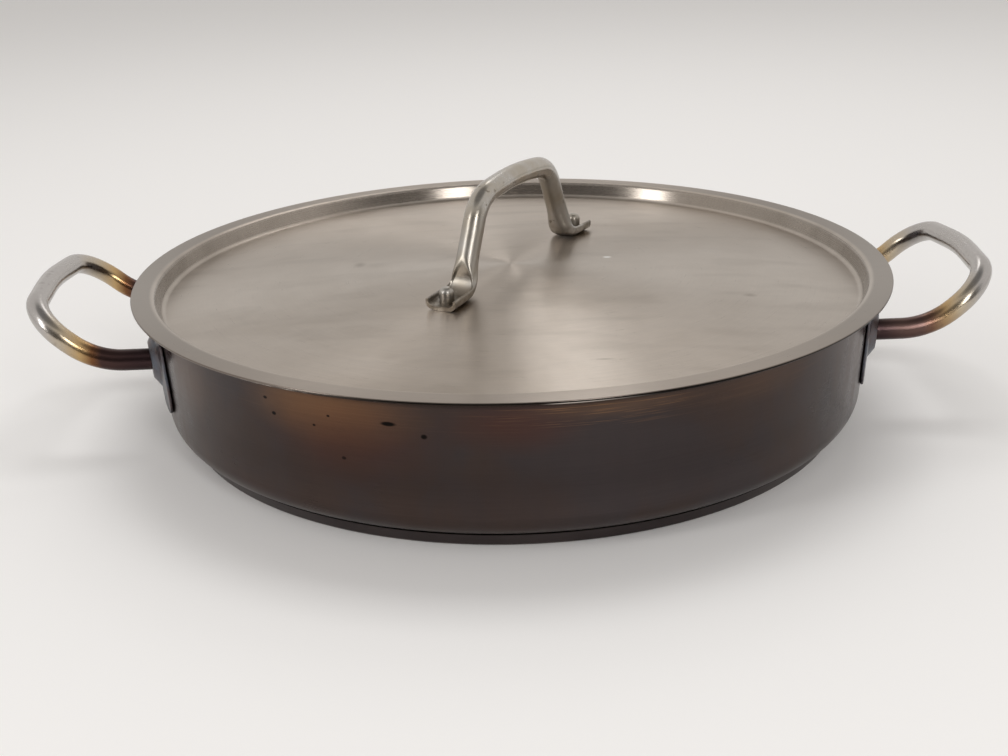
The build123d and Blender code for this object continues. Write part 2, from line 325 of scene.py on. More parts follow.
# The pan's shell
pan = {
    "sheet": 1.4, "mouthRadius": 180.2, "draft": 2.9, "rimHeight": 73.0, "rimRadius": 188.8,
    "bottom": 6.4, "cornerBend": 12.0, "lipBend": 5.5, "rimRounding": 0.5,
    "heated": (0.060, 0.043, 0.038), "bluish": (0.054, 0.045, 0.046),
    # the soot colour also serves as the painted shadow of the gap under the lid
    "straw": (0.215, 0.118, 0.062), "red": (0.095, 0.036, 0.024), "sootAndGapShadow": (0.010, 0.008, 0.007),
    "grease": (0.115, 0.080, 0.066), "inside": (0.50, 0.45, 0.39), "innerStain": (0.40, 0.33, 0.25),
    "worn": (0.62, 0.56, 0.50), "lipGrime": (0.045, 0.032, 0.026),
    "brushing": 0.55, "roughness": 0.31, "relief": 0.007,
    "lipEdge": (187.6, 188.2), "floorReflectionBand": (36.0, 14.0), "streaks": (58.0, 67.5, 2.0),
    "streaksFront": ((28, -178, 64), (58, 40, 9), 0.3),
    # brushing as lanes and arcs; noise as scale, detail, roughness and distortion
    "grain": (1.4, 5.0), "fine": (4.0, 18.0), "cloud": (16.0, 4.0, 0.6, 0.4),
    "patch": (60.0, 3.0, 0.6), "drips": (95.0, 3.0, 0.6), "inner": (22.0, 4.0, 0.6, 0.5),
    "chips": (380.0, 2.0, 0.6), "knocks": (40.0, 3.0, 0.6),
    # sides of the lip that were knocked, or that stand over the gap under the lid and carry its
    # painted shadow
    "frontKnock": (0.17, -0.985), "leftKnock": (-0.62, -0.785), "gapSide": (0.75, -0.66),
    # heat tints: middle, half sizes, strength and colour
    "tints": [
        ((-83, -161, 63), (54, 44, 21), 0.82, "straw"),
        ((-76, -164, 52), (52, 42, 30), 0.5, "red"),
        ((-8, -181, 60), (36, 30, 16), 0.45, "red"),
        ((36, -178, 66), (52, 34, 7), 0.28, "straw"),
        ((98, -152, 64), (44, 36, 12), 0.16, "straw"),
        ((-150, -100, 55), (30, 34, 24), 0.2, "straw"),
        ((168, -85, 50), (40, 60, 36), 0.35, "red"),
        ((-50, 175, 60), (60, 40, 16), 0.5, "straw"),
        ((20, 180, 50), (60, 40, 22), 0.5, "red"),
        ((150, 100, 55), (40, 50, 20), 0.4, "straw"),
        ((-165, 76, 50), (40, 50, 22), 0.4, "red"),
    ],
    # soot spots: middle and half sizes
    "spots": [
        ((-56.9, -171.8, 59.3), (4.2, 4, 1.3)), ((-42.7, -175.6, 54.7), (1.7, 3, 1.4)),
        ((-76.3, -163.1, 41.3), (1.3, 3, 1.0)), ((-105.6, -146.8, 55.7), (1.3, 3, 1.1)),
        ((-108.9, -144.7, 62.2), (1.2, 3, 0.9)), ((-81.6, -161.6, 59.6), (0.9, 3, 0.7)),
        ((-88.0, -157.8, 54.3), (0.9, 3, 0.7)), ((120.0, 136.0, 40.0), (3.0, 4, 1.6)),
    ],
}
draft = math.radians(pan["draft"])
lipUnderside = pan["rimHeight"] - pan["sheet"]
wallTop = pan["mouthRadius"] + pan["sheet"]
wallBase = wallTop - (lipUnderside - pan["bottom"]) * math.tan(draft)


def wallRadius(height):
    return wallBase + (height - pan["bottom"]) * math.tan(draft)


def makePanShell(material):
    inset = pan["sheet"] / math.cos(draft)
    floor = pan["bottom"] + pan["sheet"]
    corners = [
        (0, pan["bottom"]), (wallBase, pan["bottom"]), (wallTop, lipUnderside),
        (pan["rimRadius"], lipUnderside), (pan["rimRadius"], pan["rimHeight"]),
        (wallRadius(pan["rimHeight"]) - inset, pan["rimHeight"]),
        (wallRadius(floor) - inset, floor), (0, floor),
    ]
    bends = {
        1: pan["cornerBend"], 2: pan["lipBend"], 3: pan["rimRounding"], 4: pan["rimRounding"],
        5: pan["lipBend"] + pan["sheet"], 6: pan["cornerBend"] - pan["sheet"],
    }
    mesh = bmesh.new()
    bendProfile(mesh, corners, bends)
    turnProfile(mesh, roundSteps)
    finishPiece("panShell", mesh, "pan", material, "pan_shell")


def wallColour(place, height, grain, drips):
    # the outside: brown to blue-black from heat, straw where it was hottest, soot marks
    cloud = place.noise(*pan["cloud"])
    patch = place.noise(*pan["patch"])
    colour = cloud.smooth(0.38, 0.66).over(pan["heated"], pan["bluish"])
    colour = (drips.smooth(-0.04, 0.16) * 0.42).over(colour, pan["grease"])
    ragged = (cloud - 0.5) * 0.9 + (patch - 0.5) * 0.5
    for centre, size, strength, tint in pan["tints"]:
        mask = (place.spot(centre, size) + ragged * place.spot(centre, size, 0.4)).limit()
        colour = (mask * strength).over(colour, pan[tint])
    # straw lines in the brushing under the lip, strongest in front
    near = place.spot(*pan["streaksFront"])
    streak = (0.06 + 0.6 * near) * height.band(*pan["streaks"]) * grain.smooth(0.52, 0.66)
    colour = streak.over(colour, pan["straw"])
    for centre, size in pan["spots"]:
        mask = (place.spot(centre, size, 0.45) * (1.45 - patch)).limit()
        colour = mask.over(colour, pan["sootAndGapShadow"])
    return colour


def makeHeatedSteel():
    material, surface, place = newSteel("heatedSteel", pan["brushing"])
    around = aroundAxis(place)
    reach, height, east, north = around
    grain = ringGrain(around, *pan["grain"])
    fine = ringGrain(around, *pan["fine"])
    normal = place.node("ShaderNodeTexCoord", output="Normal")
    nx, ny, nz = normal.parts()
    inside = (nz - nx * east - ny * north).smooth(-0.3, 0.3)
    # upright marks of burnt-on grease, strongest at the two ends
    x, y, z = place.parts()
    drips = place.vector(x, y, z * 0.22).noise(*pan["drips"])
    drips = (drips - 0.48) * (0.06 + 0.64 * east.size().smooth(0.60, 0.90))
    outside = wallColour(place, height, grain, drips)
    # painted reflection of the pale floor: the outside is lighter towards its foot
    outside = outside.dim(1.0 + 0.45 * height.smooth(*pan["floorReflectionBand"]))
    stain = place.noise(*pan["inner"])
    innerColour = stain.ramp([(0.35, pan["innerStain"]), (0.6, pan["inside"])])
    colour = inside.over(outside, innerColour)
    # the lip's sheet edge is grimy, and worn bright where it was knocked
    edge = reach.smooth(*pan["lipEdge"])
    colour = edge.over(colour, pan["lipGrime"])
    chips = place.noise(*pan["chips"]).smooth(0.52, 0.60)
    knocked = facing(around, pan["frontKnock"]).smooth(0.987, 0.996)
    knocked = knocked + facing(around, pan["leftKnock"]).smooth(0.985, 0.995) * chips
    knocked = knocked + place.noise(*pan["knocks"]).smooth(0.60, 0.68) * 0.6
    colour = (edge * knocked).limit().over(colour, pan["worn"])
    # painted shadow: the lip's edge is darkened where it stands over the gap under the lid
    gap = edge * facing(around, pan["gapSide"]).smooth(0.70, 0.85)
    colour = gap.over(colour, pan["sootAndGapShadow"])
    colour = colour.dim(0.90 + 0.20 * grain)
    roughness = varied(pan["roughness"], (grain, 0.10), (stain, 0.14), (fine, 0.08))
    roughness = roughness + 0.5 * drips * (1.0 - inside)
    wireUp(surface, colour, roughness, grain * 0.5 + fine * 0.5, pan["relief"])
    return material


makePanShell(makeHeatedSteel())


# The sandwich base's cap, with the seam over it
base = {
    "sheet": 0.8, "footRadius": 168.6, "seamRadius": 171.5, "edgeBend": 2.5, "height": 6.85,
    "topRounding": 0.2, "heated": (0.066, 0.052, 0.052), "paler": (0.095, 0.078, 0.076),
    "scraped": (0.26, 0.22, 0.20), "seam": (0.008, 0.007, 0.006),
    "brushing": 0.4, "roughness": 0.36, "relief": 0.012, "scrapedBelow": (1.4, 0.3),
    "seamAbove": (6.2, 6.7),
    "grain": (1.2, 6.0), "cloud": (20.0, 4.0, 0.6, 0.4),
}


def makeBaseCap(material):
    sheet = base["sheet"]
    corners = [
        (0, 0), (base["footRadius"], 0), (base["seamRadius"], base["height"]),
        (base["seamRadius"] - sheet, base["height"]), (base["footRadius"] - sheet, sheet),
        (0, sheet),
    ]
    mesh = bmesh.new()
    bends = {1: base["edgeBend"], 2: base["topRounding"], 4: base["edgeBend"] - sheet}
    bendProfile(mesh, corners, bends)
    turnProfile(mesh, roundSteps)
    finishPiece("baseCap", mesh, "pan", material, "base_cap")


def makeBaseSteel():
    material, surface, place = newSteel("baseSteel", base["brushing"])
    around = aroundAxis(place)
    height = around[1]
    grain = ringGrain(around, *base["grain"])
    cloud = place.noise(*base["cloud"])
    colour = cloud.ramp([(0.35, base["heated"]), (0.7, base["paler"])])
    # bare where the underside's edge slides on a hob, dark in the seam
    scraped = (height.smooth(*base["scrapedBelow"]) * cloud.smooth(0.42, 0.6)).limit()
    colour = scraped.over(colour, base["scraped"])
    colour = height.smooth(*base["seamAbove"]).over(colour, base["seam"])
    colour = colour.dim(0.8 + 0.4 * grain)
    roughness = varied(base["roughness"], (grain, 0.2), (cloud, 0.15))
    wireUp(surface, colour, roughness, grain, base["relief"])
    return material


makeBaseCap(makeBaseSteel())


# The aluminium core shut in the base keeps its CAD mesh
core = {
    "dull": (0.68, 0.68, 0.69), "bright": (0.78, 0.78, 0.79), "roughness": 0.4, "relief": 0.01,
    "grain": (1.0, 4.0),
}


def makeCoreMetal():
    material, surface, place = newMaterial("coreMetal", {"Metallic": 1.0})
    grain = ringGrain(aroundAxis(place), *core["grain"])
    colour = grain.ramp([(0.3, core["dull"]), (0.7, core["bright"])])
    wireUp(surface, colour, varied(core["roughness"], (grain, 0.2)), grain, core["relief"])
    return material


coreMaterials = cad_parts["base_core"].data.materials
coreMaterials.clear()
coreMaterials.append(makeCoreMetal())


# The lid's panel
lid = {
    "sheet": 1.0, "radius": 191.0, "edgeRounding": 0.4, "recessDepth": 9.0, "recessFoot": 177.0,
    "recessDraft": 16.1, "edgeBend": 1.5, "footBend": 3.0, "crown": 8.0, "crownCuts": 40,
    "steel": (0.530, 0.472, 0.415), "dull": (0.470, 0.412, 0.355), "stain": (0.26, 0.22, 0.18),
    "flange": (0.46, 0.402, 0.350), "edge": (0.17, 0.14, 0.12), "speck": (0.85, 0.84, 0.82),
    "brushing": 0.92, "brushCentre": 2.9, "roughness": 0.31, "relief": 0.006,
    "nearSide": (0.6, -0.8), "flangeFrom": (180.5, 182.5), "rimFrom": (190.5, 190.8),
    "rimGapShadow": (73.88, 73.62), "recessWall": (177.5, 179.6, 0.6),
    "speckAt": ((51.1, 7.0, 72.3), (3.0, 1.8, 2), 0.3),
    "grain": (1.3, 3.0), "fine": (4.5, 8.0), "cloud": (11.0, 4.0, 0.6, 0.3),
    "smear": (42.0, 2.0, 0.5, 0.2), "mottle": (190.0, 3.0, 0.65, 0.3),
    # marks: middle, half sizes and strength
    "marks": [
        ((-78.8, 13.2, 71.4), (4.5, 7, 3), 0.8), ((-70, 10, 71), (10, 7, 3), 0.35),
        ((113.2, -55.7, 68.9), (5, 3.5, 3), 0.7), ((34.3, -132.4, 68.2), (6, 1.0, 2), 0.6),
        ((-120, 40, 70), (12, 7, 4), 0.2), ((90, 60, 70), (16, 6, 4), 0.2),
        ((20, 120, 69), (20, 6, 4), 0.18),
    ],
}
lidTop = pan["rimHeight"] + lid["sheet"]
panelEdge = lidTop - lid["recessDepth"]
crownRadius = (lid["recessFoot"] ** 2 + lid["crown"] ** 2) / (2 * lid["crown"])


def panelTop(reach):
    return panelEdge + lid["crown"] - crownRadius + math.sqrt(crownRadius ** 2 - reach ** 2)


def makeLidPanel(material):
    sheet = lid["sheet"]
    lean = math.radians(lid["recessDraft"])
    foot = lid["recessFoot"]
    wallEnd = foot + lid["recessDepth"] * math.tan(lean)
    inset = sheet * math.tan((math.pi / 2 - lean) / 2)  # from a bend's inner corner to its outer
    corners = [
        (0, panelEdge), (foot, panelEdge), (wallEnd, lidTop), (lid["radius"], lidTop),
        (lid["radius"], lidTop - sheet), (wallEnd + inset, lidTop - sheet),
        (foot + inset, panelEdge - sheet), (0, panelEdge - sheet),
    ]
    bends = {
        1: lid["footBend"], 2: lid["edgeBend"] + sheet, 3: lid["edgeRounding"],
        4: lid["edgeRounding"], 5: lid["edgeBend"], 6: lid["footBend"] + sheet,
    }
    mesh = bmesh.new()
    bendProfile(mesh, corners, bends)
    flats = [edge for edge in mesh.edges if min(vert.co.x for vert in edge.verts) < 1e-6]
    bmesh.ops.subdivide_edges(mesh, edges=flats, cuts=lid["crownCuts"])
    for vert in mesh.verts:  # raised to the crown
        if vert.co.x < foot * mm:
            vert.co.z += (panelTop(vert.co.x / mm) - panelEdge) * mm
    turnProfile(mesh, roundSteps)
    finishPiece("lidPanel", mesh, "lid", material, "lid_panel")


def makeLidSteel():
    material, surface, place = newSteel("lidSteel", lid["brushing"])
    around = aroundAxis(place, lid["brushCentre"])
    east = around[2]
    grain = ringGrain(around, *lid["grain"])
    fine = ringGrain(around, *lid["fine"])
    x, y, z = place.parts()
    cloud = place.noise(*lid["cloud"])
    smear = place.vector(x * 0.45, y * 1.3, z).noise(*lid["smear"])
    mottle = place.vector(x * 0.6, y, z).noise(*lid["mottle"])
    colour = cloud.smooth(0.35, 0.65).over(lid["dull"], lid["steel"])
    colour = (smear.smooth(0.50, 0.72) * 0.2).over(colour, lid["stain"])
    # painted light: lighter at the back and along the front's middle, darker at the ends
    outer = (x * x + y * y).root() / mm
    paintedLightShift = 0.15 * (y / mm).smooth(30.0, 130.0) - 0.10 * east.size().smooth(0.5, 0.9)
    paintedLightShift = paintedLightShift + 0.13 * (y / mm).smooth(-20.0, -90.0) * east.size().smooth(0.7, 0.35)
    colour = colour.dim(1.0 + paintedLightShift)
    flange = place.vector(*lid["flange"]).dim(1.0 - 0.38 * east.size().smooth(0.3, 0.9))
    colour = outer.smooth(*lid["flangeFrom"]).over(colour, flange)
    rim = outer.smooth(*lid["rimFrom"])
    colour = (rim * 0.8).over(colour, lid["edge"])
    # painted shadow of the gap under the near edge, where the real lid sits a little high
    near = facing(around, lid["nearSide"]).smooth(0.25, 0.6)
    colour = (rim * near * (z / mm).smooth(*lid["rimGapShadow"])).over(colour, pan["sootAndGapShadow"])
    for centre, size, strength in lid["marks"]:
        colour = (place.spot(centre, size) * strength).over(colour, lid["stain"])
    colour = place.spot(*lid["speckAt"]).over(colour, lid["speck"])
    colour = colour.dim(0.75 + 0.16 * grain + 0.24 * fine + 0.14 * mottle)
    roughness = varied(lid["roughness"], (grain, 0.10), (fine, 0.12), (mottle, 0.04))
    # the recess wall is smoother than the flat sheet, and darkened as painted shade
    recess = outer.band(*lid["recessWall"])
    colour = colour.dim(1.0 - 0.30 * recess)
    wireUp(surface, colour, roughness - 0.04 * recess, grain * 0.4 + fine * 0.6, lid["relief"])
    return material


makeLidPanel(makeLidSteel())
print("pan and lid turned")


# The loop handles
loop = {
    "tube": 10.4, "halfSpacing": 51.0, "height": 47.0, "socketGap": 1.0, "straight": 14.8,
    "riseBend": 38.5, "riseAngle": 40.8, "slopeRun": 22.5, "cornerBend": 22.4,
    "bow": 4.8, "bowBend": 140.0,
    "around": 40, "straightSteps": 4, "riseSteps": 16,
    "burnt": (0.050, 0.030, 0.031), "bronze": (0.21, 0.095, 0.042), "gold": (0.56, 0.38, 0.18),
    "purple": (0.075, 0.042, 0.038), "paleGold": (0.54, 0.455, 0.34), "steel": (0.50, 0.475, 0.455),
    "russet": (0.185, 0.115, 0.098), "grime": (0.16, 0.12, 0.10),
    "russetAt": ((199, -51, 50), (26, 14, 14), 0.3), "tintFrom": 183.0, "tintLength": 50.0,
    "roughness": 0.25, "relief": 0.003,
    "cloud": (70.0, 3.0, 0.6), "wide": (24.0, 2.0, 0.5), "scratch": (900.0, 2.0, 0.6),
    "dirt": (160.0, 3.0, 0.6),
}


def makeLoop(name, side, node, material):
    radius = loop["tube"] / 2
    socket = math.sqrt(wallRadius(loop["height"]) ** 2 - (loop["halfSpacing"] - radius) ** 2)
    legEnd = Vector((socket + loop["socketGap"], loop["halfSpacing"], loop["height"])) * mm
    slope = math.radians(loop["riseAngle"])
    uphill = Vector((math.cos(slope), 0, math.sin(slope)))
    mesh = bmesh.new()
    bmesh.ops.create_circle(
        mesh, cap_ends=True, segments=loop["around"], radius=radius * mm,
        matrix=Matrix.Translation(legEnd) @ Matrix.Rotation(math.pi / 2, 4, "Y"),
    )
    straight = Vector((loop["straight"] * mm, 0, 0))
    ring = pushRing(mesh, list(mesh.edges), straight, loop["straightSteps"])
    bendStart = legEnd + straight
    bendCentre = bendStart + upAxis * loop["riseBend"] * mm
    ring = bendRing(mesh, ring, bendCentre, (0, -1, 0), slope, loop["riseSteps"])
    bendEnd = bendCentre + Matrix.Rotation(slope, 3, (0, -1, 0)) @ (bendStart - bendCentre)
    # the rest lies in the sloping plane, and stops half way round the bow
    run, span = loop["slopeRun"], loop["halfSpacing"]
    corners = [(0, 0), (run, 0), (run + loop["bow"], span), (run, 2 * span)]
    moves = halfWay(pathMoves(corners, [loop["cornerBend"], loop["bowBend"]]))
    followPath(mesh, ring, moves, bendEnd, uphill, Vector((0, -1, 0)))
    mirrorHalf(mesh, "Y", 1e-6)
    if side < 0:
        bmesh.ops.scale(mesh, vec=(-1, 1, 1), verts=mesh.verts)
    finishPiece(name, mesh, "pan", material, node, 60)


def makeLoopSteel():
    material, surface, place = newMaterial("loopSteel", {"Metallic": 1.0})
    x, y, z = place.parts()
    cloud = place.noise(*loop["cloud"])
    wide = place.noise(*loop["wide"])
    hotter = (y / mm).smooth(0.0, 40.0) * (x / mm).smooth(0.0, -40.0)  # the left loop's far leg
    away = varied(x.size() / mm - loop["tintFrom"] - 6.0 * hotter, (wide, 9.0), (cloud, 3.0))
    away = away / loop["tintLength"]  # 0 beside the pan, 1 where the tube stayed cold
    colour = away.ramp([
        (0.0, loop["burnt"]), (0.34, loop["purple"]), (0.43, loop["bronze"]),
        (0.54, loop["gold"]), (0.68, loop["paleGold"]), (0.86, loop["steel"]),
    ])
    colour = (place.spot(*loop["russetAt"]) * 0.6).over(colour, loop["russet"])
    scratch = place.vector(x * 0.3, y, z * 2.0).noise(*loop["scratch"])
    grime = place.noise(*loop["dirt"]).smooth(0.60, 0.72) * 0.25
    colour = grime.over(colour, loop["grime"]).dim(0.92 + 0.16 * scratch)
    roughness = varied(loop["roughness"], (cloud, 0.14), (scratch, 0.1))
    roughness = roughness + 0.08 * away.smooth(0.5, 0.2)
    wireUp(surface, colour, roughness, scratch, loop["relief"])
    return material


loopSteel = makeLoopSteel()
makeLoop("rightLoop", 1, "right_loop_handle", loopSteel)
makeLoop("leftLoop", -1, "left_loop_handle", loopSteel)


# The brackets: a rounded plate wrapped on the wall, with a pressed dome
bracket = {
    "sheet": 1.5, "width": 46.0, "below": 23.0, "above": 19.0, "corner": 8.0, "edgeRounding": 0.5,
    "weldGap": 0.15, "domeFoot": 13.8, "domeTop": 8.8, "domeRise": 3.2, "footFillet": 2.0,
    "topFillet": 1.8, "collar": 2.5, "around": 96, "plateCuts": 3, "sharpAngle": 1.2,
    "steel": (0.12, 0.132, 0.158), "residue": (0.016, 0.013, 0.014), "tint": (0.12, 0.095, 0.095),
    "roughness": 0.36, "relief": 0.03, "seamWithin": (0.9, 0.3), "dirtBelow": (38.0, 27.0),
    "cloud": (90.0, 4.0, 0.6, 0.3), "speckle": (420.0, 2.0, 0.6),
}


def plateOutline(direction):
    # where a ray from the dome's middle meets the plate's rounded outline
    halfWidth = bracket["width"] / 2
    halfHeight = (bracket["above"] + bracket["below"]) / 2
    middle = Vector((0, (bracket["above"] - bracket["below"]) / 2))
    low, high = 0.0, bracket["width"] + halfHeight
    for _ in range(30):  # halved until it is exact
        reach = (low + high) / 2
        point = direction * reach - middle
        beyond = Vector((
            max(abs(point.x) - halfWidth + bracket["corner"], 0),
            max(abs(point.y) - halfHeight + bracket["corner"], 0),
        ))
        if beyond.length < bracket["corner"]:
            low = reach
        else:
            high = reach
    return direction * low


def makeBracket(name, sideX, sideY, node, material):
    front = bracket["weldGap"] + bracket["sheet"]
    frontRadius = wallRadius(loop["height"]) + front
    turn = math.asin(loop["halfSpacing"] / (frontRadius + bracket["domeRise"] / 2))
    rim = (bracket["domeFoot"] + bracket["collar"]) * mm
    corners = [
        (0, front + bracket["domeRise"]), (bracket["domeTop"], front + bracket["domeRise"]),
        (bracket["domeFoot"], front), (rim / mm, front),
    ]
    mesh = bmesh.new()
    bendProfile(mesh, corners, {1: bracket["topFillet"], 2: bracket["footFillet"]})
    turnProfile(mesh, bracket["around"])
    # the flat plate round the dome
    border = [edge for edge in mesh.edges if edge.is_boundary]
    for vert in vertsOf(bmesh.ops.extrude_edge_only(mesh, edges=border)["geom"]):
        vert.co.xy = plateOutline(vert.co.xy.normalized()) * mm
    spokes = [
        edge for edge in mesh.edges
        if len([vert for vert in edge.verts if vert.co.xy.length > rim + 1e-5]) == 1
    ]
    bmesh.ops.subdivide_edges(mesh, edges=spokes, cuts=bracket["plateCuts"])
    bmesh.ops.recalc_face_normals(mesh, faces=mesh.faces)
    if sum(face.normal.z for face in mesh.faces) < 0:
        bmesh.ops.reverse_faces(mesh, faces=mesh.faces)
    bmesh.ops.solidify(mesh, geom=list(mesh.faces), thickness=bracket["sheet"] * mm)
    sharp = [
        edge for edge in mesh.edges
        if len(edge.link_faces) == 2 and edge.calc_face_angle() > bracket["sharpAngle"]
        and min(vert.co.xy.length for vert in edge.verts) > rim
    ]
    bmesh.ops.bevel(
        mesh, geom=sharp, offset=bracket["edgeRounding"] * mm, offset_type="OFFSET", segments=3,
        profile=0.5, affect="EDGES", material=-1, clamp_overlap=True,
    )
    for vert in mesh.verts:  # wrapped on the drafted wall
        across, up, out = vert.co
        height = loop["height"] * mm + up * math.cos(draft) - out * math.sin(draft)
        angle = turn + across / (frontRadius * mm)
        reach = wallRadius(height / mm) * mm + out / math.cos(draft)
        vert.co = (reach * math.cos(angle) * sideX, reach * math.sin(angle) * sideY, height)
    finishPiece(name, mesh, "pan", material, node, 50)


def makeBracketSteel():
    material, surface, place = newMaterial("bracketSteel", {"Metallic": 1.0})
    reach, height = aroundAxis(place)[:2]
    cloud = place.noise(*bracket["cloud"])
    speckle = place.noise(*bracket["speckle"])
    colour = cloud.smooth(0.35, 0.65).over(bracket["tint"], bracket["steel"])
    seam = (reach - wallRadius(height)).smooth(*bracket["seamWithin"])  # close to the wall
    low = (height.smooth(*bracket["dirtBelow"]) * cloud.smooth(0.35, 0.6)).limit()
    colour = (low * 0.7).over(colour, bracket["residue"])
    colour = (speckle.smooth(0.60, 0.72) * 0.5).over(colour, bracket["residue"])
    colour = seam.over(colour, bracket["residue"])
    roughness = varied(bracket["roughness"], (cloud, 0.2), (speckle, 0.15))
    wireUp(surface, colour, roughness, cloud * 0.5 + speckle * 0.5, bracket["relief"])
    return material


bracketSteel = makeBracketSteel()
for sideX, sideName in ((1, "right"), (-1, "left")):
    for sideY, endName in ((1, "rear"), (-1, "front")):
        pieceName = sideName + endName.capitalize() + "Bracket"
        makeBracket(pieceName, sideX, sideY, sideName + "_" + endName + "_bracket", bracketSteel)
print("loops and brackets bent")


# The lid's handle: a bent tube with both ends pressed into troughs
grip = {
    "tube": 10.8, "turn": 60.9, "shift": 2.9, "height": 44.1, "crown": 4.1, "crownBend": 200.0,
    "shoulderHalf": 38.3, "shoulderBend": 20.0, "heelHalf": 57.1, "heelBend": 9.0, "tip": 79.4,
    "footWidth": 16.0, "floor": 2.0, "wall": 1.5, "sideHeight": 5.6, "seat": 0.15,
    "pressStart": 16.0, "rivetReach": 73.1, "lipTurn": 15.0, "squareness": 0.62, "crease": 1.4,
    "creaseWidth": 1.3, "spreadEnd": 1.25, "deepening": 2.0,
    "around": 72, "legSteps": 16, "heelSteps": 14, "footSteps": 8,
    "steel": (0.52, 0.495, 0.46), "warm": (0.46, 0.415, 0.35), "grime": (0.17, 0.135, 0.10),
    "roughness": 0.25, "relief": 0.008, "cloud": (55.0, 3.0, 0.6), "scratch": (850.0, 3.0, 0.65),
    "nicks": (210.0, 2.0, 0.5), "dirt": (140.0, 3.0, 0.6),
    "dirtBelow": (82.0, 75.0), "dullAndShadedBelow": (114.0, 102.0),
    "topNick": ((6.5, 10.5, 120.6), (7.0, 2.2, 2.0), 0.3),
}


def footFrame():
    # where the rivet meets the crowned lid, and the directions along and square to the lid there
    lean = math.asin(grip["rivetReach"] / crownRadius)
    run = Vector((math.cos(lean), -math.sin(lean)))
    normal = Vector((math.sin(lean), math.cos(lean)))
    point = Vector((grip["rivetReach"], panelTop(grip["rivetReach"])))
    return point, run, normal


def easeInOut(part):
    part = min(1.0, max(0.0, part))
    return part * part * (3 - 2 * part)


def pressedPoint(angle, share):
    # a point of the tube's outline, moved towards its place in the trough by a share
    radius, half, wall = grip["tube"] / 2, grip["footWidth"] / 2, grip["wall"]
    lipHeight = grip["sideHeight"] - radius - wall / 2
    lipTurn = math.radians(grip["lipTurn"])
    side, rise = math.cos(angle), math.sin(angle)
    tilt = math.asin(rise)  # from the side, up is positive
    if abs(tilt) < lipTurn:
        swing = math.pi / 2 * (1 + tilt / lipTurn)
        pressedSide = half - wall / 2 + wall / 2 * math.cos(swing)
        pressedRise = lipHeight + wall / 2 * math.sin(swing)
    else:  # a channel with a flat floor and rounded corners
        width, depth = half, lipHeight + radius
        if rise > 0:  # its inside
            width, depth = width - wall, depth - grip["floor"]
        turn = (abs(tilt) - lipTurn) / (math.pi / 2 - lipTurn) * math.pi / 2
        pressedSide = width * math.cos(turn) ** grip["squareness"]
        pressedRise = lipHeight - depth * math.sin(turn) ** grip["squareness"]
    # the crest gives way first, so the pressing starts as a narrow crease; the sides spread last
    late = grip["crease"]
    if rise > 0:
        late = late * abs(side) ** grip["creaseWidth"]
    sunk = easeInOut(share * (1 + grip["crease"]) - late) * min(1.0, share) ** grip["deepening"]
    spread = easeInOut(share / grip["spreadEnd"])
    return Vector((
        radius * side + (math.copysign(pressedSide, side) - radius * side) * spread,
        radius * rise + (pressedRise - radius * rise) * sunk,
    ))


def placeRing(verts, angles, middle, heading, share):
    inward = Vector((-heading.y, heading.x))  # towards the pressed side
    for vert, angle in zip(verts, angles):
        shape = pressedPoint(angle, share)
        spot = middle + inward * shape.y
        vert.co = Vector((spot.x, shape.x, spot.y)) * mm


def footStations(press, heel, tip, heading):
    # down the leg, round the heel and along the foot: middle, heading and share of the pressing
    (_, run), (_, centre, angle) = pathMoves([press, heel, tip], [grip["heelBend"]])
    stations = []
    steps = grip["legSteps"]
    for step in range(1, steps + 1):
        stations.append((press + run * step / steps, heading, run.length * step / steps))
    spoke = press + run - centre
    steps = grip["heelSteps"]
    for step in range(1, steps + 1):
        swing = Matrix.Rotation(-angle * step / steps, 2)
        travelled = run.length + grip["heelBend"] * abs(angle) * step / steps
        stations.append((centre + swing @ spoke, swing @ heading, travelled))
    here, heading, pressed = stations[-1]
    steps = grip["footSteps"]
    for step in range(1, steps + 1):
        travelled = pressed + (tip - here).length * step / steps
        stations.append((here.lerp(tip, step / steps), heading, travelled))
    return [(middle, heading, travelled / pressed) for middle, heading, travelled in stations]


def pressFoot(mesh, verts, edges, angles, stations):
    # ring by ring down to the tip, which is then closed
    for middle, heading, share in stations:
        made = bmesh.ops.extrude_edge_only(mesh, edges=edges)["geom"]
        numbers = {vert: number for number, vert in enumerate(verts)}
        fresh = [None] * len(verts)
        for vert in vertsOf(made):
            for edge in vert.link_edges:
                number = numbers.get(edge.other_vert(vert))
                if number is not None:
                    fresh[number] = vert
        placeRing(fresh, angles, middle, heading, share)
        verts, edges = fresh, edgesOf(made)
    bmesh.ops.contextual_create(mesh, geom=edges)


def onLid(mesh, place, heading=0.0):
    # turned and shifted as the loose lid lies
    turn = Matrix.Rotation(math.radians(grip["turn"]) + heading, 4, "Z")
    shift = Matrix.Translation((grip["shift"] * mm, 0, 0))
    bmesh.ops.transform(mesh, matrix=shift @ turn @ place, verts=mesh.verts)


